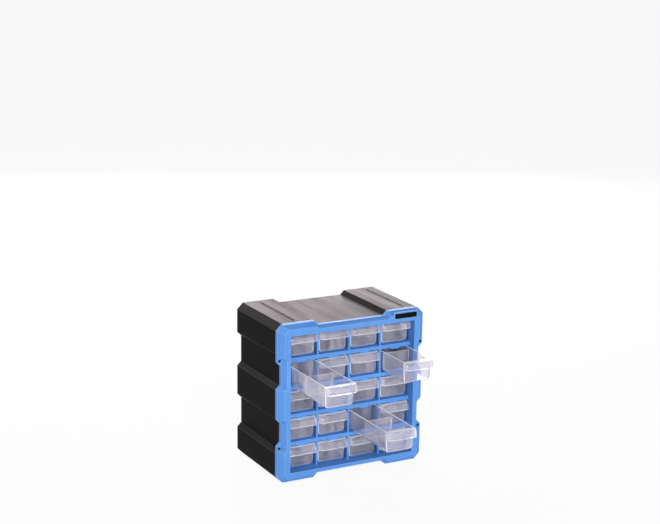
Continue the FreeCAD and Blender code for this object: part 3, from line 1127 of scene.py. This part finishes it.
# %% Place the drawers
drawer_rise = 1.9
for row in rows:
    for column in columns:
        body, spare = f"drawer_r{row}c{column}", f"divider_r{row}c{column}"
        place = (column_middle(column), corners(body)[0][1] + hood_reach, sill(row) + drawer_rise)
        tray = pattern.copy()
        bmesh.ops.translate(tray, vec=place, verts=tray.verts)
        make_piece(f"tray_r{row}c{column}", tray, clear_plastic, body, [body])
        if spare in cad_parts:
            screen = divider()
            bmesh.ops.translate(screen, vec=place, verts=screen.verts)
            make_piece(f"screen_r{row}c{column}", screen, clear_plastic, body, [spare])

# %% [markdown]
# ## Floor and background
# The photograph has a plain white ground. The floor is a pale matt surface that keeps a soft shadow,
# and rays from the camera, mirrors or clear plastic see it lifted to white, as they see the world.

# %% Floor
pale_grey, near_white, white = (0.86, 0.86, 0.86, 1), (0.9, 0.9, 0.9, 1), (1, 1, 1, 1)
floor_size, floor_drop = 30, 0.0002


def direct_rays(recipe):
    """1 for rays that the camera sends, straight, off a gloss or through clear plastic, and else 0."""
    names = ("Is Camera Ray", "Is Glossy Ray", "Is Transmission Ray")
    straight, glossy, clear = [recipe.node("ShaderNodeLightPath", output=name) for name in names]
    return straight.either(glossy).either(clear)


def floor_look(recipe):
    tone = recipe.blend(recipe.noise(3, 3), pale_grey, near_white)
    matt = recipe.node("ShaderNodeBsdfDiffuse", {}, {"Color": tone})
    lifted = recipe.node("ShaderNodeEmission", {}, {"Color": white, "Strength": 1})
    return recipe.mixed(0.93 * direct_rays(recipe), matt, lifted)


ground = bmesh.new()
bmesh.ops.create_grid(ground, x_segments=1, y_segments=1, size=floor_size)
bmesh.ops.translate(ground, vec=(0, 0, -floor_drop), verts=ground.verts)
ground_mesh = bpy.data.meshes.new("floor")
ground.to_mesh(ground_mesh)
ground.free()
ground_mesh.materials.append(finish("floor_white", floor_look))
floor = bpy.data.objects.new("floor", ground_mesh)
bpy.context.collection.objects.link(floor)

# %% World
world = bpy.data.worlds.new("studio")
world.use_nodes = True
bpy.context.scene.world = world
sky = Recipe(world.node_tree)
strength = 0.18 + 0.82 * direct_rays(sky)
light = sky.node("ShaderNodeBackground", {}, {"Color": white, "Strength": strength})
sky.node("ShaderNodeOutputWorld", {}, {"Surface": light})
print("world nodes", len(world.node_tree.nodes))

# %% [markdown]
# ## Lamps
# Four large soft lamps stand for the studio. The key is low and in front, so the front faces are the
# brightest and the chamfers, sills and reveals fall off into deep blue. A weak one at the upper left
# lights what faces up and left. Two behind the cabinet give the black top its pale sheen, which is
# their low reflection.

# %% Lamps
def lamp(name, place, aim, size, power, color=(1, 1, 1)):
    """A square soft lamp that points at a place."""
    light = bpy.data.lights.new(name, "AREA")
    light.shape = "SQUARE"
    light.size = size
    light.energy = power
    light.color = color
    made = bpy.data.objects.new(name, light)
    made.location = place
    made.rotation_euler = (Vector(aim) - Vector(place)).to_track_quat("-Z", "Y").to_euler()
    made.visible_camera = False
    bpy.context.collection.objects.link(made)
    print("lamp", name, power, "W")


lamp("key", (-0.65, -3.05, 0.9), (0, 0, 0.13), 1.3, 69)
lamp("upper left", (-1.9, -1.7, 2.4), (0, 0, 0.13), 1.0, 12)
lamp("back", (1.0, 2.2, 1.0), (0, 0, 0.2), 1.7, 74, (1, 0.905, 0.935))
lamp("rear left", (-0.9, 2.3, 1.5), (-0.1, 0, 0.15), 1.4, 32, (1, 0.93, 0.95))
bpy.context.scene.view_settings.view_transform = "Standard"
